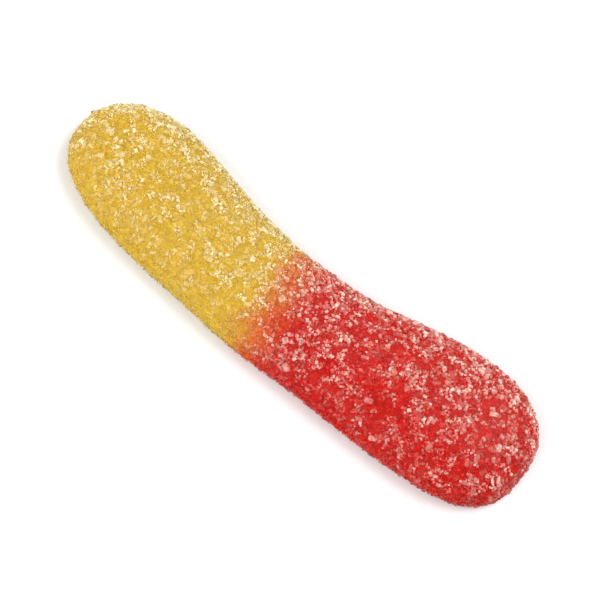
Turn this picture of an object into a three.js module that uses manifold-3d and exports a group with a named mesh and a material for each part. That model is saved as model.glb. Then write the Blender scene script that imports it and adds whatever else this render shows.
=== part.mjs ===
// A sugared gel sweet in the shape of a tongue, yellow at one end and red at the other. It is cast in
// one piece and lies on its flat back. Millimetres. +X runs from the yellow end to the red end, +Z is
// up, and the origin is under the middle of its bounding box, on the surface that it lies on.
import * as THREE from "three";
import { mergeVertices } from "three/addons/utils/BufferGeometryUtils.js";
import Module from "manifold-3d";

const wasm = await Module();
wasm.setup();

// The outline: two round lobes joined by a slight waist. Each lobe is widest at its x and ends in a
// superellipse that is "cap" long. A higher power gives a blunter end.
const YELLOW = { x: -25, halfWidth: 10.2, cap: 16, power: 2.3 };
const RED = { x: 25.3, halfWidth: 11.4, cap: 15.7, power: 2.65 };
const WAIST = { from: -10, to: 3.5, halfWidth: 9.25 };

// The sweet is bowed in its own plane, with its middle towards -Y.
const BOW = { x: -2.6, depth: 3.5, reach: 36 };

// The section: a broad dome with rounded shoulders over a flat back. The back's middle is dished,
// because the gel shrank as it set in its mould.
const THICKNESS = 7.0;
const WAIST_THICKNESS = 6.5;
const RIM_HEIGHT = 0.9;
const DOME_POWER = { across: 3.0, up: 2.3 };
const RIM_ROUND = [
  { out: 0.992, height: 0.45 },
  { out: 0.972, height: 0.12 },
];
const REST_RING = { outer: 0.945, inner: 0.8 };
const DISH = { depth: 0.5, power: 3 };

// How finely the gel is faceted.
const SPOKES = 64;
const DOME_STEPS = 10;
const DISH_STEPS = 4;
const FINE_STEPS = 300;

// The coarsest sugar: slanted blocks that lean a little and are partly sunk in the gel. Each keeps
// a spacing from the others and a clearance from the surface that the sweet lies on.
const CRYSTAL = { length: [0.8, 1.35], width: [0.6, 0.95], height: [0.55, 0.8] };
const CRYSTAL_SLANT = 0.23;
const CRYSTAL_LEAN = 0.8;
const CRYSTAL_SUNK = 0.48;
const CRYSTAL_SPACING = 1.6;
const DOME_SUGAR = { count: 270, reach: 0.97, scale: 1, clearance: 0.15, facing: 1 };
const DISH_SUGAR = { count: 30, reach: 0.9, scale: 0.5, clearance: 0.05, facing: -1 };

// Crystals are tried one after another at places that these steps spread over the surface without
// ever leaving a large gap. DRAW numbers the draws that each of them makes, and SCATTER holds the
// factors of the steep sine that gives such a draw.
const EVEN_STEP = { along: 0.7548776662466927, around: 0.5698402909980532 };
const MOST_TRIES = 5000;
const DRAW = { length: 1, width: 2, height: 3, leanX: 4, leanY: 5, turn: 6, area: 7 };
const SCATTER = { crystal: 127.1, use: 311.7, steepness: 43758.5453 };

const MERGE_GAP = 1e-3;
const GEL_COLOUR = 0xe0512e;

const { lerp, smoothstep } = THREE.MathUtils;
const fraction = (value) => value - Math.floor(value);

// A repeatable draw from 0 to 1 by one crystal for one use.
function draw(crystal, use) {
  return fraction(Math.sin(crystal * SCATTER.crystal + use * SCATTER.use) * SCATTER.steepness);
}

// Each point of a line gets "reach", how far along the line it is.
function measured(points, distance) {
  let reach = 0;
  return points.map((point, k) => {
    if (k > 0) reach += distance(points[k - 1], point);
    return { ...point, reach };
  });
}

// The point of a measured line at a share of its length.
function partWay(line, share) {
  const wanted = share * line.at(-1).reach;
  let low = 0;
  let high = line.length - 1;
  while (high - low > 1) {
    const middle = (low + high) >> 1;
    if (line[middle].reach <= wanted) low = middle;
    else high = middle;
  }
  const between = (wanted - line[low].reach) / (line[high].reach - line[low].reach);
  const names = Object.keys(line[low]);
  return Object.fromEntries(names.map((name) => [name, lerp(line[low][name], line[high][name], between)]));
}

// 0 along the waist and 1 from a lobe's widest place outwards.
function lobeShare(x) {
  return x < 0 ? smoothstep(-x, -WAIST.from, -YELLOW.x) : smoothstep(x, WAIST.to, RED.x);
}

function halfWidthAt(x) {
  return lerp(WAIST.halfWidth, (x < 0 ? YELLOW : RED).halfWidth, lobeShare(x));
}

function bowAt(x) {
  const share = Math.min(Math.abs((x - BOW.x) / BOW.reach), 1);
  return (-BOW.depth * (1 + Math.cos(Math.PI * share))) / 2;
}

function thicknessScale(x) {
  return lerp(WAIST_THICKNESS, THICKNESS, lobeShare(x)) / THICKNESS;
}

// A quarter of a superellipse from its tip to its side, beyond a lobe's widest place.
function capOutline(lobe, direction) {
  return Array.from({ length: FINE_STEPS + 1 }, (_, k) => {
    const angle = ((Math.PI / 2) * k) / FINE_STEPS;
    const along = Math.max(Math.cos(angle), 0) ** (2 / lobe.power);
    const across = Math.sin(angle) ** (2 / lobe.power);
    return { x: lobe.x + direction * lobe.cap * along, y: lobe.halfWidth * across, foot: lobe.x };
  });
}

// The +Y side before it is bowed, from the red tip to the yellow tip. Each point's foot is the x of
// the place on the middle line that it is measured from.
function sideOutline() {
  const redCap = capOutline(RED, 1);
  const middle = Array.from({ length: FINE_STEPS - 1 }, (_, k) => {
    const x = lerp(RED.x, YELLOW.x, (k + 1) / FINE_STEPS);
    return { x, y: halfWidthAt(x), foot: x };
  });
  const yellowCap = capOutline(YELLOW, -1).reverse();
  return measured([...redCap, ...middle, ...yellowCap], (a, b) => Math.hypot(b.x - a.x, b.y - a.y));
}

const SIDE = sideOutline();

// The spoke from the middle line to the outline, at a share of the way round from the red tip.
function spokeAt(turn) {
  const around = fraction(turn) * 2;
  const spoke = partWay(SIDE, around <= 1 ? around : 2 - around);
  return { ...spoke, y: around <= 1 ? spoke.y : -spoke.y };
}

// A point of the sweet: a share of the way out along a spoke, at a height for the full thickness.
function place({ out, height }, spoke) {
  const x = lerp(spoke.foot, spoke.x, out);
  return new THREE.Vector3(x, out * spoke.y + bowAt(x), height * thicknessScale(x));
}

// The dome's own line, from its crown to the rim.
function domeLine(steps) {
  return Array.from({ length: steps + 1 }, (_, k) => {
    const angle = ((Math.PI / 2) * k) / steps;
    const up = Math.max(Math.cos(angle), 0) ** (2 / DOME_POWER.up);
    return { out: Math.sin(angle) ** (2 / DOME_POWER.across), height: lerp(RIM_HEIGHT, THICKNESS, up) };
  });
}

// The dished back's line, from its middle to the inner edge of the ring that the sweet lies on.
function dishLine(steps) {
  return Array.from({ length: steps + 1 }, (_, k) => {
    const share = k / steps;
    return { out: REST_RING.inner * share, height: DISH.depth * (1 - share ** DISH.power) };
  });
}

// The gel is turned like a button on a lathe, and its spokes are then pulled out to the outline.
function gelGeometry() {
  const back = [...dishLine(DISH_STEPS), { out: REST_RING.outer, height: 0 }];
  const line = [...back, ...RIM_ROUND.toReversed(), ...domeLine(DOME_STEPS).reverse()];
  const profile = line.map(({ out, height }) => new THREE.Vector2(out, height));
  const geometry = new THREE.LatheGeometry(profile, SPOKES);
  const position = geometry.getAttribute("position");
  for (let turn = 0; turn <= SPOKES; turn++) {
    const spoke = spokeAt(turn / SPOKES);
    line.forEach((point, k) => {
      position.setXYZ(turn * line.length + k, ...place(point, spoke));
    });
  }
  return geometry;
}

// A closed geometry as a solid that can be joined. Triangles that merging has flattened are left out.
function solidOf(geometry) {
  const bare = new THREE.BufferGeometry().setAttribute("position", geometry.getAttribute("position"));
  bare.setIndex(geometry.getIndex());
  const merged = mergeVertices(bare, MERGE_GAP);
  const corners = merged.getIndex().array;
  const triVerts = [];
  for (let k = 0; k < corners.length; k += 3) {
    const triangle = corners.slice(k, k + 3);
    if (new Set(triangle).size === 3) triVerts.push(...triangle);
  }
  const vertProperties = merged.getAttribute("position").array;
  const mesh = new wasm.Mesh({ numProp: 3, vertProperties, triVerts: new Uint32Array(triVerts) });
  return new wasm.Manifold(mesh);
}

function geometryOf(solid) {
  const { vertProperties, triVerts } = solid.getMesh();
  const geometry = new THREE.BufferGeometry();
  geometry.setAttribute("position", new THREE.BufferAttribute(vertProperties, 3));
  return geometry.setIndex(new THREE.BufferAttribute(triVerts, 1));
}

// The surface that a line sweeps: the point at (share, turn), its area there and the way it faces.
function surfaceAt(line, share, turn, facing) {
  const step = 1e-3;
  const at = (s, t) => place(partWay(line, s), spokeAt(t));
  const along = at(share + step, turn).sub(at(share - step, turn));
  const around = at(share, turn + step).sub(at(share, turn - step));
  const normal = along.cross(around);
  const area = normal.length();
  normal.normalize().multiplyScalar(Math.sign(normal.z) * facing);
  return { point: at(share, turn), area, normal };
}

// A slanted block of sugar, sunk into the surface at a site and turned at random.
function crystalGeometry({ point, normal, number }, scale) {
  const size = (name) => lerp(...CRYSTAL[name], draw(number, DRAW[name])) * scale;
  const lean = (name) => (draw(number, DRAW[name]) - 0.5) * CRYSTAL_LEAN;
  const height = size("height");
  const block = new THREE.BoxGeometry(size("length"), size("width"), height);
  block.applyMatrix4(new THREE.Matrix4().makeShear(0, 0, 0, 0, CRYSTAL_SLANT, 0));
  const turned = new THREE.Euler(lean("leanX"), lean("leanY"), draw(number, DRAW.turn) * 2 * Math.PI);
  const facing = new THREE.Quaternion().setFromUnitVectors(new THREE.Vector3(0, 0, 1), normal);
  const middle = point.clone().addScaledVector(normal, height * (0.5 - CRYSTAL_SUNK));
  block.applyQuaternion(facing.multiply(new THREE.Quaternion().setFromEuler(turned)));
  return block.translate(middle.x, middle.y, middle.z);
}

// Crystals spread evenly over the surface that a line sweeps.
function sugarOn(line, { count, reach, scale, clearance, facing }) {
  const fine = measured(line(FINE_STEPS), (a, b) =>
    Math.hypot((b.out - a.out) * RED.halfWidth, b.height - a.height),
  );
  const site = (number) => ({
    ...surfaceAt(
      fine,
      lerp(1 - reach, reach, fraction(number * EVEN_STEP.along)),
      fraction(number * EVEN_STEP.around),
      facing,
    ),
    number,
  });
  const widest = Math.max(...Array.from({ length: count }, (_, k) => site(k + 1).area));
  const kept = [];
  const crystals = [];
  for (let number = 1; crystals.length < count && number < MOST_TRIES; number++) {
    const here = site(number);
    if (draw(number, DRAW.area) * widest > here.area) continue;
    if (kept.some((other) => other.distanceTo(here.point) < CRYSTAL_SPACING)) continue;
    const crystal = crystalGeometry(here, scale);
    crystal.computeBoundingBox();
    if (crystal.boundingBox.min.z < clearance) continue;
    kept.push(here.point);
    crystals.push(solidOf(crystal));
  }
  return crystals;
}

function sugaredGel() {
  const gel = solidOf(gelGeometry());
  const sugar = [...sugarOn(domeLine, DOME_SUGAR), ...sugarOn(dishLine, DISH_SUGAR)];
  const whole = wasm.Manifold.union([gel, ...sugar]);
  const { min, max } = whole.boundingBox();
  return whole.translate([-(min[0] + max[0]) / 2, -(min[1] + max[1]) / 2, 0]);
}

const gummyTongue = new THREE.Mesh(
  geometryOf(sugaredGel()),
  new THREE.MeshStandardMaterial({ color: GEL_COLOUR, roughness: 0.6, metalness: 0 }),
);
gummyTongue.name = "gummy_tongue";

const sweet = new THREE.Group();
sweet.add(gummyTongue);

export default sweet;
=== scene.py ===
# %% [markdown]
# # A sour gummy tongue
# The sweet is one casting of soft gel, yellow at one end and red at the other, tumbled in sugar.
# The packed model fixes its size and place, and its coarsest crystals are fused on as plain
# blocks. A better material alone would leave its facets showing. So the sweet is made again here
# in the same frame: the gel, smoother, and some twenty thousand grains of sugar as true crystals.

# %% Load the frame
import math
from collections import namedtuple
from itertools import product

import bmesh
import bpy
import numpy as np
from mathutils import Euler, Matrix, Vector, noise


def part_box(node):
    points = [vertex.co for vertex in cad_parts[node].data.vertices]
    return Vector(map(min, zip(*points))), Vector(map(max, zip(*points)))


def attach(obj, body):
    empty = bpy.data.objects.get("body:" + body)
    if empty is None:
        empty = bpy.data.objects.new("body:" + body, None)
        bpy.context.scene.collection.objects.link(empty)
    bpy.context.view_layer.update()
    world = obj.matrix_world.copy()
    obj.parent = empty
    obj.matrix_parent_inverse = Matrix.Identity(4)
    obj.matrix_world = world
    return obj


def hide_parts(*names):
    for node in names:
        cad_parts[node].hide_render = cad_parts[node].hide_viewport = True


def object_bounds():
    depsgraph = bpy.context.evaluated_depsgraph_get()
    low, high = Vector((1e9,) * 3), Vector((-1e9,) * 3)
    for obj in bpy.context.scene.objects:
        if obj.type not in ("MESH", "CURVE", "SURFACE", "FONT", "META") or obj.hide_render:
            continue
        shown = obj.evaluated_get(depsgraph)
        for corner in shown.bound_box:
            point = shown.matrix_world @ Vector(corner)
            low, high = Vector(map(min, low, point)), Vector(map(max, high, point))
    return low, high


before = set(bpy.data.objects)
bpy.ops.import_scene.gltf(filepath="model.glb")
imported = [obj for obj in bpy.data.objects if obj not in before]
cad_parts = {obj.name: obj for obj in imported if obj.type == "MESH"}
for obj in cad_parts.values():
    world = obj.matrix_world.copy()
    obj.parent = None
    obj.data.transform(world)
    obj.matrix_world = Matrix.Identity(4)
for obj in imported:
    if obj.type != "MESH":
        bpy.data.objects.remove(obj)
cad_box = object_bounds()
MM = 0.001
sides = [round((high - low) / MM, 1) for low, high in zip(*cad_box)]
print("the packed model holds", *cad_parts, "and measures", sides, "mm")

# %% [markdown]
# ## The sizes
# Seen from above, the sweet is two round lobes with a slight waist between them, bowed a little to
# one side. Across, it is a broad dome with rounded shoulders over a flat back with a shallow dish.
# Such a form could be pulled into shape by hand, but the packed solid is worked out from a few
# named sizes. The same sizes are used here, in millimetres, so that both shapes agree. A lobe is
# widest at its `x` and ends in a cap, which is blunter with a higher power. The rim and the ring
# that the sweet rests on are given as shares of the way out to the outline.

# %% Name the sizes
YELLOW = dict(x=-25, half_width=10.2, cap=16, power=2.3)
RED = dict(x=25.3, half_width=11.4, cap=15.7, power=2.65)
WAIST = dict(start=-10, end=3.5, half_width=9.25)
BOW = dict(x=-2.6, depth=3.5, reach=36)
THICKNESS = 7.0
WAIST_THICKNESS = 6.5
RIM_HEIGHT = 0.9
DOME_POWER = dict(across=3.0, up=2.3)
RIM_ROUND = [(0.992, 0.45), (0.972, 0.12)]
REST_RING = dict(outer=0.945, inner=0.8)
DISH = dict(depth=0.5, power=3)
print("the gel is", RED["x"] + RED["cap"] - YELLOW["x"] + YELLOW["cap"], "mm long")

# %% [markdown]
# ## Soft changes
# Nothing on cast gel changes suddenly: its width, its thickness and its coat of sugar swell and
# fade. A straight ramp would leave a crease at both of its ends, and a curve with handles can't be
# read at thousands of places at once. A smooth step is level at both ends and is one formula,
# which NumPy works out for a whole array.

# %% Define the smooth step
def smoothstep(value, low, high):
    share = np.clip((value - low) / (high - low), 0, 1)
    return share * share * (3 - 2 * share)


print("a smooth step read at its quarters:", smoothstep(np.linspace(0, 1, 5), 0, 1).round(2))

# %% [markdown]
# ## The lobes, the waist and the bow
# The sweet is widest near its two ends and thinnest at its waist. One long outline could hold all
# that, but then every change would mean moving many points. Four short functions say it instead:
# how far a place belongs to a lobe, how wide the gel is there, how far the bow pushes it sideways
# and how thick it is.

# %% Say how wide, bowed and thick the gel is
def lobe_share(x):
    towards_yellow = smoothstep(-x, -WAIST["start"], -YELLOW["x"])
    towards_red = smoothstep(x, WAIST["end"], RED["x"])
    return np.where(x < 0, towards_yellow, towards_red)


def half_width_at(x):
    lobe = np.where(x < 0, YELLOW["half_width"], RED["half_width"])
    return WAIST["half_width"] + (lobe - WAIST["half_width"]) * lobe_share(x)


def bow_at(x):
    share = np.minimum(np.abs((x - BOW["x"]) / BOW["reach"]), 1)
    return -BOW["depth"] * (1 + np.cos(np.pi * share)) / 2


def thickness_scale(x):
    return (WAIST_THICKNESS + (THICKNESS - WAIST_THICKNESS) * lobe_share(x)) / THICKNESS


print("the waist is", 2 * half_width_at(0), "mm wide and", thickness_scale(0) * THICKNESS, "mm thick")

# %% [markdown]
# ## Lines that can be walked along
# The outline and the section are both lines of points, and later the grains are spread by how far
# along them they lie. A curve object could hold such a line, but is slow to read at many places.
# So a line is kept as its points and their distances from its start, as shares of its length.

# %% Measure a line and read it part way
def measured(points, stretch=1.0):
    points = np.array(points, float)
    steps = np.hypot(np.diff(points[:, 0]) * stretch, np.diff(points[:, 1]))
    reach = np.concatenate([[0], np.cumsum(steps)])
    return points, reach / reach[-1]


def part_way(line, share):
    points, reach = line
    return [np.interp(share, reach, column) for column in points.T]


print("half way along a bent line:", np.round(part_way(measured([(0, 0), (3, 0), (3, 4)]), 0.5), 2))

# %% [markdown]
# ## The outline
# Both ends of the sweet are blunter than half an ellipse. An arc with straight sides would show
# where they meet, but a superellipse has just this form, and one power says how blunt it is. Every
# outline point keeps its foot, the place on the sweet's middle line that it is measured from, so
# the section can later be stretched between the two.

# %% Draw one side of the outline
FINE_STEPS = 300


def cap_outline(lobe, direction):
    angle = np.linspace(0, np.pi / 2, FINE_STEPS + 1)
    along = np.clip(np.cos(angle), 0, 1) ** (2 / lobe["power"])
    across = np.sin(angle) ** (2 / lobe["power"])
    x = lobe["x"] + direction * lobe["cap"] * along
    return np.stack([x, lobe["half_width"] * across, np.full_like(x, lobe["x"])], axis=1)


middle_x = np.linspace(RED["x"], YELLOW["x"], FINE_STEPS + 1)[1:-1]
middle = np.stack([middle_x, half_width_at(middle_x), middle_x], axis=1)
SIDE = measured(np.concatenate([cap_outline(RED, 1), middle, cap_outline(YELLOW, -1)[::-1]]))
print("one side of the outline has", len(SIDE[0]), "points")

# %% [markdown]
# ## The section
# Cut across, the sweet has soft shoulders, and its back sank a little in the middle as the gel
# set. A bevelled slab would keep a flat top between its rounded edges, so the dome is a
# superellipse too and the dish is a power curve. Both are lists of (out, height) pairs, where
# `out` runs from 0 on the middle line to 1 at the outline.

# %% Draw the dome and the dish
def dome_line(steps):
    angle = np.linspace(0, np.pi / 2, steps + 1)
    up = np.clip(np.cos(angle), 0, 1) ** (2 / DOME_POWER["up"])
    out = np.sin(angle) ** (2 / DOME_POWER["across"])
    return list(zip(out, RIM_HEIGHT + (THICKNESS - RIM_HEIGHT) * up))


def dish_line(steps):
    share = np.linspace(0, 1, steps + 1)
    return list(zip(REST_RING["inner"] * share, DISH["depth"] * (1 - share ** DISH["power"])))


print("half way round the dome's curve:", np.round(dome_line(2)[1], 2))

# %% [markdown]
# ## From the section to the sweet
# A lattice or a curve modifier could bend a plain shape to the outline, but the sizes would then
# come out only nearly right. Here a spoke runs from the middle line to the outline at each turn
# round the sweet, and `place` puts a pair of the section on that spoke. A turn goes from 0 to 1,
# starting at the red tip.

# %% Place a point of the section on the sweet
def spoke_at(turn):
    around = np.mod(turn, 1) * 2
    x, y, foot = part_way(SIDE, np.where(around <= 1, around, 2 - around))
    return x, np.where(around <= 1, y, -y), foot


def place(out, height, turn):
    x, y, foot = spoke_at(turn)
    along = foot + (x - foot) * out
    return np.stack([along, out * y + bow_at(along), height * thickness_scale(along)], axis=-1)


print("the red tip is at", place(1, RIM_HEIGHT, 0).round(2), "mm")

# %% [markdown]
# ## The gel
# The real sweet is poured into a mould and sets there with its back open to the air. A subdivided
# box could be rounded to such a form, but its corners would show as uneven curves. Here a half
# section is spun round the Z axis, like a button on a lathe, which closes it with even spokes and
# needs no hand-made faces. Both ends of the section stay a hair's breadth off the axis, which
# leaves tiny open rings until the points there are merged.

# %% Spin the section
SPOKES = 288
DOME_STEPS = 48
DISH_STEPS = 16
CROWN_GAP = 1e-4


def gel_section():
    back = dish_line(DISH_STEPS) + [(REST_RING["outer"], 0.0)]
    return back + RIM_ROUND[::-1] + dome_line(DOME_STEPS)[::-1]


def spun(section, spokes):
    shape = bmesh.new()
    corners = [shape.verts.new((max(out, CROWN_GAP), 0, height)) for out, height in section]
    edges = [shape.edges.new(pair) for pair in zip(corners, corners[1:])]
    bmesh.ops.spin(
        shape, geom=corners + edges, cent=(0, 0, 0), axis=(0, 0, 1), dvec=(0, 0, 0),
        angle=2 * math.pi, steps=spokes, use_merge=True, use_duplicate=False,
    )
    return shape


gel = spun(gel_section(), SPOKES)
print("the button has", len(gel.faces), "faces")

# %% [markdown]
# ## The button becomes the sweet
# How far out each point of the button lies, and which way, says where it goes on the sweet, so
# bending it needs no modifier. The grains under the back lift the gel off the floor, and the
# section is squeezed upwards by that much. Merging the doubles then closes the poles, and only
# after that are the normals turned outwards. Spinning leaves the faces in an order that changes
# from run to run. The finer sugar is drawn on these faces, so they are sorted by where they lie.

# %% Pull the button to the outline
STANDOFF = 0.16
MERGE_GAP = 0.01
SORTING_WAY = Vector((1.0, 0.37, 0.11))

button = np.array([corner.co for corner in gel.verts])
outs = np.hypot(button[:, 0], button[:, 1])
turns = np.arctan2(button[:, 1], button[:, 0]) / (2 * np.pi)
lifted = STANDOFF + button[:, 2] * (1 - STANDOFF / THICKNESS)
for corner, point in zip(gel.verts, place(outs, lifted, turns)):
    corner.co = point
bmesh.ops.remove_doubles(gel, verts=gel.verts, dist=MERGE_GAP)
bmesh.ops.recalc_face_normals(gel, faces=gel.faces)
gel.faces.sort(key=lambda face: face.calc_center_median() @ SORTING_WAY)
open_edges = sum(edge.is_boundary for edge in gel.edges)
print("the gel has", len(gel.faces), "faces and", open_edges, "open edges")

# %% [markdown]
# ## The gel's unevenness
# Soft gel takes shallow swells and dents from its mould and from tumbling. A Displace modifier
# could add them, but the grains have to lie on the dented skin, so the points themselves move. Two
# sizes of smooth noise push each point along its own normal by up to a few tenths of a millimetre,
# and less towards the back, so that the sweet still lies flat.

# %% Dent the gel
SWELLS = dict(size=9.0, depth=0.22)
DENTS = dict(size=2.4, depth=0.05)
DENT_OFFSET = Vector((3.7, 1.9, 5.3))


def unevenness(point):
    swell = noise.noise(point / SWELLS["size"] + DENT_OFFSET) * SWELLS["depth"]
    dent = noise.noise(point / DENTS["size"] - DENT_OFFSET) * DENTS["depth"]
    return (swell + dent) * smoothstep(point.z, RIM_HEIGHT / 2, THICKNESS / 2)


gel.normal_update()
moves = [(corner, corner.normal * float(unevenness(corner.co))) for corner in gel.verts]
for corner, move in moves:
    corner.co += move
print("the deepest dent or swell is", round(max(move.length for _, move in moves), 2), "mm")

# %% [markdown]
# ## Pieces that stand for the packed solid
# The packed solid was centred on its own box, its fused crystals included. The same can only be
# worked out once the gel and its coarse sugar are both there, so every piece stays in millimetres
# until then and is noted in `pieces_to_centre`. Each piece rides on the packed body and hides the
# packed solid, which stays behind for contact and weight.

# %% Make a piece from a mesh
pieces_to_centre = []


def piece_from(mesh):
    piece = bpy.data.objects.new(mesh.name, mesh)
    bpy.context.scene.collection.objects.link(piece)
    pieces_to_centre.append(piece)
    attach(piece, "root")
    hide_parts("gummy_tongue")
    return piece


for face in gel.faces:
    face.smooth = True
gel_mesh = bpy.data.meshes.new("gummy_body")
gel.to_mesh(gel_mesh)
gel.free()
gummy_body = piece_from(gel_mesh)
print("gummy_body has", len(gel_mesh.polygons), "faces and", len(gel_mesh.vertices), "points")

# %% [markdown]
# ## One crystal
# A sugar crystal is a slanted block with worn edges. A sculpted grain would take hundreds of
# faces, which is too many thousands of times over, so a cube is bevelled here and slanted when it
# is laid. The larger a grain is, the more of its form shows: the coarse ones get every edge rounded
# in two steps, the middle ones get one cut, and the fine ones stay blocks of six faces.

# %% Model a crystal for each size of sugar
COARSE_BEVEL = dict(offset=0.2, segments=2)
MIDDLE_BEVEL = dict(offset=0.14, segments=1)


def crystal(bevel=None):
    shape = bmesh.new()
    bmesh.ops.create_cube(shape, size=1)
    if bevel:
        bmesh.ops.bevel(
            shape, geom=shape.edges[:], offset_type="OFFSET", profile=0.5, affect="EDGES",
            material=-1, **bevel,
        )
    shape.verts.index_update()
    corners = np.array([corner.co for corner in shape.verts])
    faces = [[corner.index for corner in face.verts] for face in shape.faces]
    shape.free()
    return corners, faces


COARSE_CRYSTAL = crystal(COARSE_BEVEL)
MIDDLE_CRYSTAL = crystal(MIDDLE_BEVEL)
FINE_CRYSTAL = crystal()
print("faces to a crystal:", [len(faces) for _, faces in (COARSE_CRYSTAL, MIDDLE_CRYSTAL, FINE_CRYSTAL)])

# %% [markdown]
# ## Draws that come out the same anywhere
# The coarsest crystals are fused to the packed solid and have to be found again at the same places
# here. Reading them off its mesh would give loose corners, not crystals. So the solid's own rule
# is repeated, with the same draws. A seeded generator gives other numbers in another language, but
# the far decimals of a steep sine are the same, and scatter as well as random numbers do.

# %% Draw a number for a crystal
DRAW = dict(length=1, width=2, height=3, lean_x=4, lean_y=5, turn=6, area=7)
SCATTER = dict(crystal=127.1, use=311.7, steepness=43758.5453)


def draw(number, use):
    angle = number * SCATTER["crystal"] + DRAW[use] * SCATTER["use"]
    return np.mod(np.sin(angle) * SCATTER["steepness"], 1)


print("the first crystal's draws:", {use: round(float(draw(1, use)), 2) for use in DRAW})

# %% [markdown]
# ## The surface below a crystal
# A crystal sits on the gel and stands up from it. A ray cast at the mesh would find the place, but
# the surface has a formula. Two short steps on it, one along the section and one around the sweet,
# have a cross product that points the way the surface faces. Its length is how much surface there
# is, which later keeps the crystals from crowding where the spokes meet.

# %% Find a place on the surface and the way it faces
def fine_line(line):
    return measured(line(FINE_STEPS), RED["half_width"])


def surface_at(line, share, turn, facing):
    step = 1e-3
    along = place(*part_way(line, share + step), turn) - place(*part_way(line, share - step), turn)
    section = part_way(line, share)
    around = place(*section, turn + step) - place(*section, turn - step)
    normal = np.cross(along, around)
    area = np.linalg.norm(normal, axis=-1)
    normal = normal / area[:, None] * (np.sign(normal[:, 2]) * facing)[:, None]
    return place(*section, turn), area, normal


_, _, normals = surface_at(fine_line(dome_line), np.array([0.5]), np.array([0.25]), 1)
print("half way down the dome and a quarter round, the surface faces", normals[0].round(2))

# %% [markdown]
# ## A crystal's own form
# No two crystals are alike: each has its own length, width and height, leans a little and is
# partly sunk in the gel, which was still tacky. Separate objects could each be scaled and turned.
# One matrix does all of it at once: it stretches a unit cube, slants it, turns it and stands it
# on the surface. A grain is such a matrix with its seat and the normal there.

# %% Shape one block of sugar
CRYSTAL_SIZE = dict(length=(0.8, 1.35), width=(0.6, 0.95), height=(0.55, 0.8))
CRYSTAL_LEAN = 0.8
CRYSTAL_SUNK = 0.48
CRYSTAL_SLANT = 0.23
SLANTED = Matrix(((1, 0, CRYSTAL_SLANT), (0, 1, 0), (0, 0, 1)))
UP = Vector((0, 0, 1))
Grain = namedtuple("Grain", "shaped seat normal")


def coarse_grain(number, scale, point, normal):
    size = {use: (low + (high - low) * draw(number, use)) * scale
            for use, (low, high) in CRYSTAL_SIZE.items()}
    lean = [(draw(number, use) - 0.5) * CRYSTAL_LEAN for use in ("lean_x", "lean_y")]
    turned = Euler((*lean, draw(number, "turn") * 2 * math.pi), "ZYX").to_matrix()
    standing = UP.rotation_difference(Vector(normal)).to_matrix()
    stretched = Matrix.Diagonal((size["length"], size["width"], size["height"]))
    seat = point + normal * size["height"] * (0.5 - CRYSTAL_SUNK)
    return Grain(np.array(standing @ turned @ SLANTED @ stretched), seat, normal)


first_grain = coarse_grain(1, 1.0, np.zeros(3), np.array(UP))
print("the first crystal's edges are", np.linalg.norm(first_grain.shaped, axis=0).round(2), "mm long")

# %% [markdown]
# ## The coarsest sugar
# Tumbling spreads the large crystals over the whole sweet, close but never in a heap. Plain random
# places would leave clumps and holes. Two fixed steps, whose fractions never fall back on the same
# places, walk over the surface instead, and a crystal is left out where there is little surface,
# where it would crowd another or where it would reach the floor.

# %% Find the coarsest crystals by the packed solid's rule
CRYSTAL_SPACING = 1.6
DOME_SUGAR = dict(count=270, reach=0.97, scale=1.0, clearance=0.15, facing=1)
DISH_SUGAR = dict(count=30, reach=0.9, scale=0.5, clearance=0.05, facing=-1)
EVEN_STEP = dict(along=0.7548776662466927, around=0.5698402909980532)
MOST_TRIES = 5000
CUBE_CORNERS = np.array(list(product((-0.5, 0.5), repeat=3)))


def coarse_sugar(line, count, reach, scale, clearance, facing):
    numbers = np.arange(1, MOST_TRIES)
    shares = 1 - reach + (2 * reach - 1) * np.mod(numbers * EVEN_STEP["along"], 1)
    turns = np.mod(numbers * EVEN_STEP["around"], 1)
    points, areas, normals = surface_at(fine_line(line), shares, turns, facing)
    widest = areas[:count].max()
    kept, grains = [], []
    for number, point, area, normal in zip(numbers, points, areas, normals):
        if len(kept) == count:
            break
        if draw(number, "area") * widest > area:
            continue
        if any(np.linalg.norm(other - point) < CRYSTAL_SPACING for other in kept):
            continue
        grain = coarse_grain(number, scale, point, normal)
        if (CUBE_CORNERS @ grain.shaped.T + grain.seat)[:, 2].min() >= clearance:
            kept.append(point)
            grains.append(grain)
    return grains


coarse = coarse_sugar(dome_line, **DOME_SUGAR) + coarse_sugar(dish_line, **DISH_SUGAR)
print("the sweet has", len(coarse), "of the coarsest crystals")

# %% [markdown]
# ## Clumps and patches of sugar
# Sugar sticks in clumps a millimetre or two wide, with barer gel between them, and the clumps are
# richer in some patches than in others. Weights could be painted by hand, but a formula of the
# place serves grains and faces alike. Smooth noise in two sizes gives both. The yellow end is
# coated a little more evenly than the red, so its clumps are drawn towards one level.

# %% Scatter clumps and patches
CLUMPS = dict(size=1.45, offset=(8.1, 2.6, 4.4), low=-0.25, high=0.22)
PATCHES = dict(size=6.5, offset=(1.3, 7.7, 0.9), low=-0.35, high=0.3)
POOREST_PATCH = 0.65
YELLOW_UNTIL = dict(low=-8, high=2)
YELLOW_EVENED = dict(level=0.55, share=0.15)


def noise_at(points, size, offset, low, high):
    values = [noise.noise(Vector(point) / size + Vector(offset)) for point in points]
    return smoothstep(np.array(values), low, high)


def yellowness(points):
    return 1 - smoothstep(points[:, 0], **YELLOW_UNTIL)


def clumps_at(points):
    clumps = noise_at(points, **CLUMPS)
    evened = clumps + (YELLOW_EVENED["level"] - clumps) * YELLOW_EVENED["share"] * yellowness(points)
    return evened * (POOREST_PATCH + noise_at(points, **PATCHES) * (1 - POOREST_PATCH))


def gathered(grains, part):
    return np.array([getattr(grain, part) for grain in grains])


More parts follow.
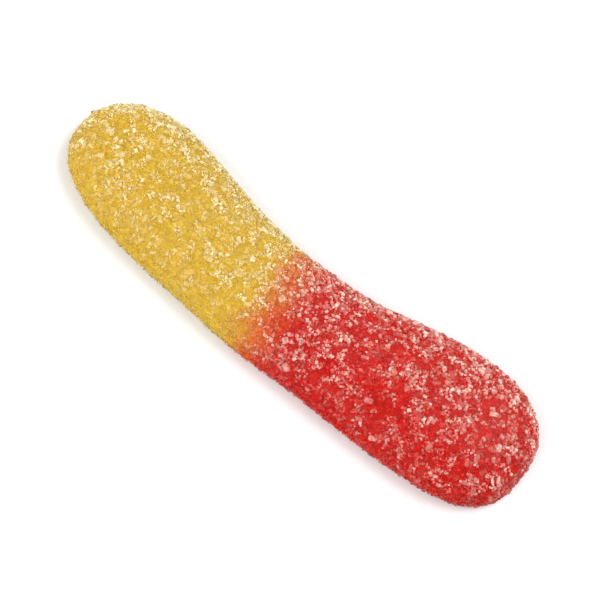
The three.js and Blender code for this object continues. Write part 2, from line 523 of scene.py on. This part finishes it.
coarse_clumps = clumps_at(gathered(coarse, "seat"))
print("at the coarse crystals the clumps are", coarse_clumps.mean().round(2), "of the thickest")

# %% [markdown]
# ## Where the coat is thick or thin
# The coat also follows the form. It is thicker and milkier on the hollow side of the bow, most of
# all on its rim. This is partly sugar and partly a painted highlight: it pales the side away from the
# camera, where light from behind grazes it, and brightens that side's shaded rim. The coat lies
# thicker where the two colours meet, and is thin low on the walls and along the bow's outer edge.
# Painting each of these on its own would be hard to keep in step, so one sum holds them all. Each
# pair of numbers says where such a change starts and where it ends, in millimetres or as a share of
# facing up. The cover then says how close the finer grains stand and how milky each looks, because
# a thick coat hides the gel.

# %% Work out the sugar's cover
TOP_FROM = 1.5
RIM_SUGAR_AND_HIGHLIGHT = dict(tilt=(0.05, 0.5), side=(-3, 7))
FAR_SUGAR_AND_HIGHLIGHT = dict(side=(1, 9), gain=0.35)
MEETING = dict(x=2.5, reach=(2, 7), side=(-5, 5), least=0.4, gain=0.3)
WALL = dict(height=(1.5, 4.5), level=(0.3, 0.8), loss=0.8)
OUTER_EDGE = dict(side=(5.5, 8.5), loss=0.3)
MOST_COVER = 1.5


def cover_at(points, normals):
    points, normals = np.array(points), np.array(normals)
    side = points[:, 1] - bow_at(points[:, 0])
    above = points[:, 2] > TOP_FROM
    # the far side and its rim: partly sugar, partly a painted highlight where light from behind grazes it
    rim = smoothstep(1 - normals[:, 2], *RIM_SUGAR_AND_HIGHLIGHT["tilt"]) * smoothstep(side, *RIM_SUGAR_AND_HIGHLIGHT["side"]) * above
    far_sugar_and_highlight = smoothstep(side, *FAR_SUGAR_AND_HIGHLIGHT["side"]) * above
    meeting = 1 - smoothstep(np.abs(points[:, 0] - MEETING["x"]), *MEETING["reach"])
    meeting = meeting * (MEETING["least"] + (1 - MEETING["least"]) * smoothstep(side, *MEETING["side"]))
    cover = clumps_at(points) + rim + far_sugar_and_highlight * FAR_SUGAR_AND_HIGHLIGHT["gain"] + meeting * MEETING["gain"]
    wall = 1 - smoothstep(points[:, 2], *WALL["height"])
    wall = wall * (1 - smoothstep(np.abs(normals[:, 2]), *WALL["level"]))
    edge = smoothstep(-side, *OUTER_EDGE["side"])
    return np.clip(cover, 0, MOST_COVER) * (1 - wall * WALL["loss"]) * (1 - edge * OUTER_EDGE["loss"])


coarse_cover = cover_at(gathered(coarse, "seat"), gathered(coarse, "normal"))
print("with the form's share the cover there is", coarse_cover.mean().round(2))

# %% [markdown]
# ## Many crystals as one mesh
# Twenty thousand separate objects would be slow, and instances would be lost in an export. So one
# kind's crystals are joined in one mesh: NumPy shapes a copy of the model's corners for each grain,
# and a corner that would be under the floor lifts its grain onto it.

# %% Join crystals in one mesh
def grain_mesh(name, model, grains, rounded=False):
    corners, faces = model
    points = np.einsum("kij,nj->kni", gathered(grains, "shaped"), corners)
    points += gathered(grains, "seat")[:, None]
    points[:, :, 2] -= np.minimum(points[:, :, 2].min(axis=1), 0)[:, None]
    starts = range(0, len(grains) * len(corners), len(corners))
    every = [[start + corner for corner in face] for start in starts for face in faces]
    mesh = bpy.data.meshes.new(name)
    mesh.from_pydata(points.reshape(-1, 3).tolist(), [], every)
    if rounded:
        mesh.shade_smooth()
    else:
        mesh.shade_flat()
    triangles = sum(len(face) - 2 for face in every)
    print(name, "has", len(grains), "crystals and", triangles, "triangles")
    return mesh


coarse_mesh = grain_mesh("sugar_coarse", COARSE_CRYSTAL, coarse, rounded=True)

# %% [markdown]
# ## A finish of its own for each crystal
# Some crystals are clear and others milky, and some are duller. A material for each would be far
# too many. So each crystal keeps two numbers for the one material: `cloud`, how milky it is, and
# `shade`, how dull. Raising the draw to a power leaves only a few of them very milky, and more of
# them half milky at the yellow end.

# %% Give every crystal its numbers and make the piece
MILKY_POWER = dict(red=2.2, less_in_yellow=0.7)


def sugar_piece(mesh, grains, seed, milkiest):
    seats = gathered(grains, "seat")
    clouds, shades = np.random.default_rng(seed).random((len(grains), 2)).T
    power = MILKY_POWER["red"] - MILKY_POWER["less_in_yellow"] * yellowness(seats)
    clouds = clouds ** power * milkiest * cover_at(seats, gathered(grains, "normal"))
    for name, values in (("cloud", np.minimum(clouds, 1)), ("shade", shades)):
        repeated = np.repeat(values, len(mesh.vertices) // len(grains)).astype(np.float32)
        mesh.attributes.new(name, "FLOAT", "POINT").data.foreach_set("value", repeated)
    print(mesh.name, "is", round(float(clouds.mean()), 2), "milky on average")
    return piece_from(mesh)


sugar_coarse = sugar_piece(coarse_mesh, coarse, seed=11, milkiest=1.0)

# %% [markdown]
# ## Room for every grain
# Between the coarse crystals the gel is covered with grains of three quarters of a millimetre and
# less, side by side. Comparing each new grain with all of the others would take minutes. So the
# grains are noted in a grid of cells, wider than any two grains that touch are apart, and only a
# new grain's own cell and those next to it are looked at.

# %% Remember which places are taken
CELL = 1.0
COARSE_RADIUS = 0.42


class Crowd:
    def __init__(self):
        self.cells = {}

    def cell(self, point):
        return tuple(int(math.floor(value / CELL)) for value in point)

    def take(self, point, radius):
        self.cells.setdefault(self.cell(point), []).append((*point, radius))

    def free(self, point, radius):
        x, y, z = self.cell(point)
        for i, j, k in product((-1, 0, 1), repeat=3):
            for a, b, c, other in self.cells.get((x + i, y + j, z + k), ()):
                if (a - point[0]) ** 2 + (b - point[1]) ** 2 + (c - point[2]) ** 2 < (radius + other) ** 2:
                    return False
        return True


crowd = Crowd()
for grain in coarse:
    crowd.take(grain.seat, COARSE_RADIUS)
print("the coarse crystals take up", len(crowd.cells), "cells")

# %% [markdown]
# ## Places for the finer sugar
# The finer grains have to follow every dent, so their places are drawn on the gel's own triangles,
# not on the formula. A large triangle and a thickly covered one are drawn more often. Scattering
# with Geometry Nodes would do as well, but couldn't ask this script how thick the coat is. Each
# triangle starts at its lowest-numbered corner and all are put in order, so that the same draws
# always find the same places.

# %% Draw places on the gel's triangles
LEAST_COVER = 0.3


def gel_triangles():
    points = np.array([corner.co for corner in gummy_body.data.vertices])
    triangles = []
    for face in gummy_body.data.polygons:
        corners = list(face.vertices)
        first = corners.index(min(corners))
        corners = corners[first:] + corners[:first]
        triangles += [(corners[0], *pair) for pair in zip(corners[1:], corners[2:])]
    return points[np.array(sorted(triangles))]


def drawn_places(triangles, tries, seed):
    rng = np.random.default_rng(seed)
    crossed = np.cross(triangles[:, 1] - triangles[:, 0], triangles[:, 2] - triangles[:, 0])
    areas = np.linalg.norm(crossed, axis=1)
    normals = crossed / areas[:, None]
    covers = cover_at(triangles.mean(axis=1), normals)
    weight = areas * (LEAST_COVER + (1 - LEAST_COVER) * covers)
    chosen = rng.choice(len(triangles), size=tries, p=weight / weight.sum())
    first, second = np.sqrt(rng.random(tries)), rng.random(tries)
    shares = np.stack([1 - first, first * (1 - second), first * second], axis=1)
    points = np.einsum("ns,nsi->ni", shares, triangles[chosen])
    return points, normals[chosen], covers[chosen]


triangles = gel_triangles()
print("the finer sugar is drawn on", len(triangles), "triangles")

# %% [markdown]
# ## Lay the finer sugar
# Each grain gets its own size, turn and lean, and sinks a little into the gel. A simulation could
# drop the grains, but twenty thousand of them would take far too long, and the draw is as uneven.
# A place too close to a taken one is passed over, and where the coat is thick a grain is raised a
# little, as if it lay on others.

# %% Lay grains where there is room
PILE = 0.1


def finer_grain(rng, point, normal, cover, size, lean, sunk):
    leaning = Vector(normal + rng.uniform(-lean, lean, 3))
    spin = Matrix.Rotation(rng.uniform(0, 2 * math.pi), 3, "Z")
    turned = leaning.to_track_quat("Z", "X").to_matrix() @ spin
    raised = size[2] * (0.5 - sunk) + PILE * cover * max(normal[2], 0)
    return Grain(np.array(turned @ SLANTED @ Matrix.Diagonal(size)), point + normal * raised, normal)


def finer_sugar(count, tries, seed, sizes, lean, sunk, packing):
    rng = np.random.default_rng(seed)
    grains = []
    for point, normal, cover in zip(*drawn_places(triangles, tries, seed + 1)):
        size = [rng.uniform(low, high) for low, high in sizes]
        mean_width = (size[0] + size[1]) / 2
        radius = packing * mean_width / 2
        if not crowd.free(point, radius):
            continue
        crowd.take(point, radius)
        grains.append(finer_grain(rng, point, normal, cover, size, lean, sunk))
        if len(grains) == count:
            break
    return grains


MIDDLE_SUGAR = dict(
    count=4400, tries=40000, seed=21, sizes=((0.4, 0.76), (0.32, 0.56), (0.3, 0.54)),
    lean=0.5, sunk=0.45, packing=0.88,
)
middle_sugar = finer_sugar(**MIDDLE_SUGAR)
middle_mesh = grain_mesh("sugar_middle", MIDDLE_CRYSTAL, middle_sugar)
sugar_middle = sugar_piece(middle_mesh, middle_sugar, seed=31, milkiest=1.1)

# %% [markdown]
# ## The finest sugar
# The finest grains fill what is left. They could be drawn in a texture, but they catch the light
# along the sweet's edge, which a texture can't. They are laid in the same way, after the middle
# ones, so the largest are sure of their room.

# %% Lay the finest grains
FINE_SUGAR = dict(
    count=16000, tries=140000, seed=41, sizes=((0.2, 0.4), (0.16, 0.32), (0.16, 0.32)),
    lean=0.6, sunk=0.4, packing=0.75,
)
fine_sugar = finer_sugar(**FINE_SUGAR)
fine_mesh = grain_mesh("sugar_fine", FINE_CRYSTAL, fine_sugar)
sugar_fine = sugar_piece(fine_mesh, fine_sugar, seed=51, milkiest=1.1)

# %% [markdown]
# ## Centre the pieces
# The gel and the coarse crystals together have the packed solid's form, so the middle of their box
# says how far everything has to move. Moving the objects would leave patterns on Object
# coordinates behind. So each mesh is moved and scaled to metres, and the objects stay at the
# origin.

# %% Move every piece into place
solid_points = np.concatenate([
    np.array([corner.co for corner in piece.data.vertices]) for piece in (gummy_body, sugar_coarse)
])
own_middle = (solid_points.min(axis=0) + solid_points.max(axis=0)) / 2
low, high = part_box("gummy_tongue")
shift = Vector(((low.x + high.x) / 2 - own_middle[0] * MM, (low.y + high.y) / 2 - own_middle[1] * MM, 0))
for piece in pieces_to_centre:
    piece.data.transform(Matrix.Translation(shift) @ Matrix.Scale(MM, 4))
    piece.data.update()
print("the pieces moved by", [round(value / MM, 2) for value in shift], "mm")

# %% [markdown]
# ## Shader maths
# A material is a graph of nodes, and a formula drawn as nodes is hard to read. `Wire` wraps an
# output socket, so that ordinary Python arithmetic adds the Math nodes. Each operator has its
# reflected form too, so that a plain number may stand on the left, as in 1 - mask.

# %% Write shader maths as expressions
def found(sockets, key):
    if isinstance(key, int):
        return sockets[key]
    return next(socket for socket in sockets if key in (socket.identifier, socket.name))


class Wire:
    def __init__(self, recipe, socket):
        self.recipe, self.socket = recipe, socket

    def output(self, key):
        return Wire(self.recipe, found(self.socket.node.outputs, key))

    def maths(self, operation, *values):
        return self.recipe.node("Math", dict(operation=operation), dict(enumerate(values)))

    def __add__(self, other):
        return self.maths("ADD", self, other)

    def __sub__(self, other):
        return self.maths("SUBTRACT", self, other)

    def __rsub__(self, other):
        return self.maths("SUBTRACT", other, self)

    def __mul__(self, other):
        return self.maths("MULTIPLY", self, other)

    __radd__ = __add__
    __rmul__ = __mul__


print("a wire answers to", [name for name in vars(Wire) if name.endswith(("add__", "sub__", "mul__"))])

# %% [markdown]
# ## One method for every node
# `Recipe` holds a material while it is made. Its `node` method adds any node: the settings first,
# then a value or a wire for each socket. The short methods below it are the few nodes that the
# finishes share: a colour mix, a soft ramp, noise at a size in millimetres and a mix of shaders.

# %% Build materials node by node
class Recipe:
    def __init__(self, name):
        self.material = bpy.data.materials.new(name)
        self.material.use_nodes = True
        self.tree = self.material.node_tree
        self.tree.nodes.clear()

    def node(self, kind, settings=None, sockets=None):
        made = self.tree.nodes.new("ShaderNode" + kind)
        for name, value in (settings or {}).items():
            if name == "stops":
                self.set_stops(made.color_ramp.elements, value)
            else:
                setattr(made, name, value)
        for key, value in (sockets or {}).items():
            self.feed(found(made.inputs, key), value)
        return Wire(self, made.outputs[0]) if made.outputs else None

    def set_stops(self, elements, stops):
        while len(elements) < len(stops):
            elements.new(1.0)
        for element, (position, colour) in zip(elements, stops):
            element.position, element.color = position, (*colour, 1.0)

    def feed(self, socket, value):
        if isinstance(value, Wire):
            self.tree.links.new(value.socket, socket)
        else:
            socket.default_value = value

    def mix(self, factor, first, second, blend="MIX"):
        sockets = {"Factor_Float": factor, "A_Color": first, "B_Color": second}
        return self.node("Mix", dict(data_type="RGBA", blend_type=blend), sockets).output("Result_Color")

    def ramp(self, value, low, high):
        settings = dict(interpolation_type="SMOOTHSTEP", clamp=True)
        return self.node("MapRange", settings, {"Value": value, "From Min": low, "From Max": high})

    def noise(self, where, size_mm, detail, seed):
        sockets = {"Vector": where, "W": seed, "Scale": 1 / (size_mm * MM), "Detail": detail}
        return self.node("TexNoise", dict(noise_dimensions="4D"), sockets)

    def spots(self, where, low, high, **kind):
        return self.ramp(self.noise(where, **kind), low, high)

    def mix_shaders(self, factor, first, second):
        return self.node("MixShader", None, {"Fac": factor, "Shader": first, "Shader_001": second})

    def finish(self, shader):
        self.node("OutputMaterial", None, {"Surface": shader})
        print(self.material.name, "has", len(self.tree.nodes), "nodes")
        return self.material


print("a recipe knows", [name for name in vars(Recipe) if not name.startswith("_")])

# %% [markdown]
# ## Where yellow turns into red
# The mould is filled with yellow gel at one end and red at the other, and the two run together
# over a few millimetres, along a ragged, slightly slanting border. An attribute on the points
# could hold that, but a border made in the material is as fine as the picture. Clear crystals show
# the gel below them, so this one function of the place colours the gel and the sugar alike.

# %% Tell how red a place is
BORDER = dict(x=-2.3, slant=-0.06, wander=3.0, width=10.0)
WANDERING = dict(size_mm=3.0, detail=4.0, seed=1.7)
ORANGE_AT = 0.45


def red_share(recipe, where):
    x = recipe.node("SeparateXYZ", None, {"Vector": where})
    y = x.output("Y")
    wandering = recipe.noise(where, **WANDERING) - 0.5
    along = x * (1 / MM) - BORDER["x"] - y * (BORDER["slant"] / MM) + wandering * (2 * BORDER["wander"])
    return recipe.ramp(along, -BORDER["width"] / 2, BORDER["width"] / 2)


def colour_along(recipe, share, yellow, orange, red):
    stops = [(0.0, yellow), (ORANGE_AT, orange), (1.0, red)]
    return recipe.node("ValToRGB", dict(stops=stops), {"Fac": share})


print("the colours meet over", BORDER["width"], "mm around x =", BORDER["x"], "mm")

# %% [markdown]
# ## The gel's colour
# The gel's own colour isn't even. Painted shade makes it darker in small spots that stand for the
# shade in the hollows between the grains, more so in the red, and it is paler in specks where dust
# of sugar has dried on it. Both could be modelled, but they are finer than a grain, so noise in the
# colour is enough. The painted shade multiplies the colour, which darkens it without greying it,
# and the dust is mixed in.

# %% Mix the gel's colour
GEL_COLOURS = dict(yellow=(0.51, 0.34, 0.026), orange=(0.51, 0.14, 0.018), red=(0.445, 0.005, 0.002))
SHADE_SPOTS = dict(size_mm=0.8, detail=2.0, seed=6.6, low=0.42, high=0.62)
PAINTED_SHADE = dict(colour=(0.5, 0.35, 0.3, 1.0), in_yellow=0.25, more_in_red=0.22)
DUSTY_PATCHES = dict(size_mm=5.0, detail=2.0, seed=8.8)
DUST = dict(colour=(0.93, 0.80, 0.66, 1.0), most=0.05)


def gel_colour(recipe, where, specks):
    red = red_share(recipe, where)
    # painted shade: darker spots stand for the shade in the hollows between the grains
    depth = recipe.spots(where, **SHADE_SPOTS) * (PAINTED_SHADE["in_yellow"] + red * PAINTED_SHADE["more_in_red"])
    clean = recipe.mix(depth, colour_along(recipe, red, **GEL_COLOURS), PAINTED_SHADE["colour"], "MULTIPLY")
    dust = specks * recipe.noise(where, **DUSTY_PATCHES) * DUST["most"]
    return recipe.mix(dust, clean, DUST["colour"])


print("the hollows are about", SHADE_SPOTS["size_mm"], "mm apart")

# %% [markdown]
# ## The gel's finish
# Gel is soft and translucent: light goes in, scatters and comes out coloured. A volume inside a
# clear skin would show that truly but slowly, and subsurface scattering looks the same on so small
# a thing. The skin is finely pitted, which a bump gives, and duller in the same specks as the dust.

# %% Make the gel's material
SPECKS = dict(size_mm=0.28, detail=2.0, seed=4.1, low=0.5, high=0.68)
PITS = dict(size_mm=0.5, detail=3.0, seed=2.6)
DULLNESS = dict(clean=0.38, more_in_specks=0.3)


def gel_material():
    recipe = Recipe("gummy_gel")
    where = recipe.node("TexCoord").output("Object")
    specks = recipe.spots(where, **SPECKS)
    pits = {"Strength": 0.35, "Distance": 0.12 * MM, "Height": recipe.noise(where, **PITS)}
    return recipe.finish(recipe.node("BsdfPrincipled", None, {
        "Base Color": gel_colour(recipe, where, specks),
        "Roughness": DULLNESS["clean"] + specks * DULLNESS["more_in_specks"],
        "Normal": recipe.node("Bump", None, pits),
        "IOR": 1.45,
        "Specular IOR Level": 0.15,
        "Sheen Weight": 0.05,
        "Sheen Roughness": 0.4,
        "Subsurface Weight": 0.7,
        "Subsurface Radius": (1.0, 0.85, 0.5),
        "Subsurface Scale": 4.0 * MM,
    }))


gummy_body.data.materials.append(gel_material())

# %% [markdown]
# ## Clear and milky sugar
# A sugar crystal is clear, so the gel's colour shines through it, and its worn faces are etched
# dull by moisture. Glass alone would look like chips of ice, and white alone like salt. So there
# are two shaders, a clear one tinted by the gel below and a frosted one with a fine etched bump,
# paler but still warmed by the gel.

# %% Make the two kinds of sugar
SUGAR_TINTS = dict(yellow=(1.0, 0.92, 0.58), orange=(1.0, 0.66, 0.42), red=(1.0, 0.38, 0.30))
SUGAR_PALE = dict(yellow=(1.0, 0.88, 0.50), orange=(1.0, 0.78, 0.56), red=(1.0, 0.64, 0.54))
ETCHED = dict(least=0.06, by_shade=0.25)
ETCHING = dict(size_mm=0.16, detail=2.0, seed=3.3)


def clear_sugar(recipe, red, shade):
    return recipe.node("BsdfPrincipled", None, {
        "Base Color": colour_along(recipe, red, **SUGAR_TINTS),
        "Roughness": ETCHED["least"] + shade * ETCHED["by_shade"],
        "IOR": 1.3,
        "Transmission Weight": 1.0,
    })


def frosted_sugar(recipe, red, where):
    etched = {"Strength": 0.4, "Distance": 0.05 * MM, "Height": recipe.noise(where, **ETCHING)}
    return recipe.node("BsdfPrincipled", None, {
        "Base Color": colour_along(recipe, red, **SUGAR_PALE),
        "Roughness": 0.45,
        "IOR": 1.42,
        "Normal": recipe.node("Bump", None, etched),
        "Sheen Weight": 0.3,
        "Sheen Roughness": 0.4,
    })


print("the etching on the frosted crystals is", ETCHING["size_mm"], "mm fine")

# %% [markdown]
# ## The sugar's finish
# Each crystal's own `cloud` says how much of it is frosted, and a noise makes the frost uneven
# within it. A clear solid casts a black shadow in a path tracer, although real sugar lets the light
# through to the gel. Tracing those bright paths would be slow and noisy, so most of a lamp's light
# simply passes through a clear crystal: for shadow rays its shader turns transparent.

# %% Make the sugar's material
FROST = dict(size_mm=0.45, detail=3.0, seed=9.4, low=0.35, high=0.65)
LEAST_FROST = 0.4
LET_THROUGH = 0.8


def sugar_material():
    recipe = Recipe("gummy_sugar")
    where = recipe.node("TexCoord").output("Object")
    cloud = recipe.node("Attribute", dict(attribute_name="cloud")).output("Fac")
    shade = recipe.node("Attribute", dict(attribute_name="shade")).output("Fac")
    red = red_share(recipe, where)
    milky = cloud * (LEAST_FROST + recipe.spots(where, **FROST) * (1 - LEAST_FROST))
    let_through = recipe.node("LightPath").output("Is Shadow Ray") * LET_THROUGH
    lit = recipe.mix_shaders(let_through, clear_sugar(recipe, red, shade), recipe.node("BsdfTransparent"))
    return recipe.finish(recipe.mix_shaders(milky, lit, frosted_sugar(recipe, red, where)))


sugar = sugar_material()
for piece in (sugar_coarse, sugar_middle, sugar_fine):
    piece.data.materials.append(sugar)

# %% [markdown]
# ## The floor
# The floor isn't part of the sweet. It is plain and pale, so that nothing takes the eye and the
# sweet's own shadow shows where it rests. A curved backdrop would hide the horizon from a low
# camera, but the floor and the surround are both almost white, so a flat square does.

# %% Lay the floor
FLOOR_SIZE = 4.0
FLOOR_FINISH = {"Base Color": (0.86, 0.86, 0.86, 1.0), "Roughness": 0.7}


def floor_piece():
    shape = bmesh.new()
    bmesh.ops.create_grid(shape, x_segments=1, y_segments=1, size=FLOOR_SIZE / 2)
    mesh = bpy.data.meshes.new("floor")
    shape.to_mesh(mesh)
    shape.free()
    piece = bpy.data.objects.new("floor", mesh)
    bpy.context.scene.collection.objects.link(piece)
    recipe = Recipe("pale_floor")
    mesh.materials.append(recipe.finish(recipe.node("BsdfPrincipled", None, FLOOR_FINISH)))
    return piece


floor_piece()
print("the floor is", FLOOR_SIZE, "m square")

# %% [markdown]
# ## The light
# Soft light from all round shows the colours, and a little direction makes the crystals glint. Sun
# lamps would give each grain a hard black shadow. So two large area lamps stand on opposite sides,
# about equally strong, in an even white surround. The Standard view keeps the colours as they are
# mixed, where a filmic one would grey the yellow.

# %% Set the light
KEY = dict(power=3.8, size=0.5, distance=0.7, azimuth=150, elevation=50)
FILL = dict(power=5.5, size=0.6, distance=0.8, azimuth=-25, elevation=32)
SURROUND = dict(Color=(1, 1, 1, 1), Strength=0.6)


def direction(azimuth, elevation):
    turn, rise = math.radians(azimuth), math.radians(elevation)
    return Vector((math.sin(turn) * math.cos(rise), -math.cos(turn) * math.cos(rise), math.sin(rise)))


def area_light(name, power, size, distance, azimuth, elevation):
    light = bpy.data.lights.new(name, "AREA")
    light.energy, light.size = power, size
    lamp = bpy.data.objects.new(name, light)
    lamp.location = direction(azimuth, elevation) * distance
    lamp.rotation_euler = lamp.location.to_track_quat("Z", "Y").to_euler()
    bpy.context.scene.collection.objects.link(lamp)


area_light("key_light", **KEY)
area_light("fill_light", **FILL)
world = bpy.data.worlds.new("soft_surround")
world.use_nodes = True
for name, value in SURROUND.items():
    world.node_tree.nodes["Background"].inputs[name].default_value = value
bpy.context.scene.world = world
bpy.context.scene.view_settings.view_transform = "Standard"
print("the lamps give", KEY["power"], "and", FILL["power"], "W")

# %% [markdown]
# ## The camera
# The photograph looks down on the sweet at about 60 degrees, from the side that its bow points to,
# with its length running from upper left to lower right. The sweet could be turned to suit, but it
# has to lie in its frame. So the camera is set by that angle and rolled about its own line of
# sight. `FRAME_WIDTH` is how much of the floor the picture spans, and fixes the lens.

# %% Place the camera
VIEW = dict(azimuth=5, elevation=60, roll=34.7, distance=0.5)
TARGET = Vector((0, 0, 0.003))
FRAME_WIDTH = 0.087
SENSOR = 36.0


def camera_at(azimuth, elevation, roll, distance):
    towards = direction(azimuth, elevation)
    turn, lean = math.radians(azimuth), math.radians(roll)
    level = Vector((math.cos(turn), math.sin(turn), 0))
    raised = towards.cross(level)
    right = level * math.cos(lean) + raised * math.sin(lean)
    up = raised * math.cos(lean) - level * math.sin(lean)
    lens = bpy.data.cameras.new("camera")
    lens.sensor_width, lens.lens = SENSOR, SENSOR * distance / FRAME_WIDTH
    camera = bpy.data.objects.new("camera", lens)
    turned = Matrix((right, up, towards)).transposed().to_4x4()
    camera.matrix_world = Matrix.Translation(TARGET + towards * distance) @ turned
    bpy.context.scene.collection.objects.link(camera)
    return camera


bpy.context.scene.camera = camera_at(**VIEW)
print("the lens is", round(bpy.context.scene.camera.data.lens), "mm long")

# %% [markdown]
# ## Bring the scene up to date
# The packed model settles how big the sweet is, and the looks have to stay inside its box. Last,
# the view layer is brought up to date.

# %% Bring the scene up to date
bpy.context.view_layer.update()
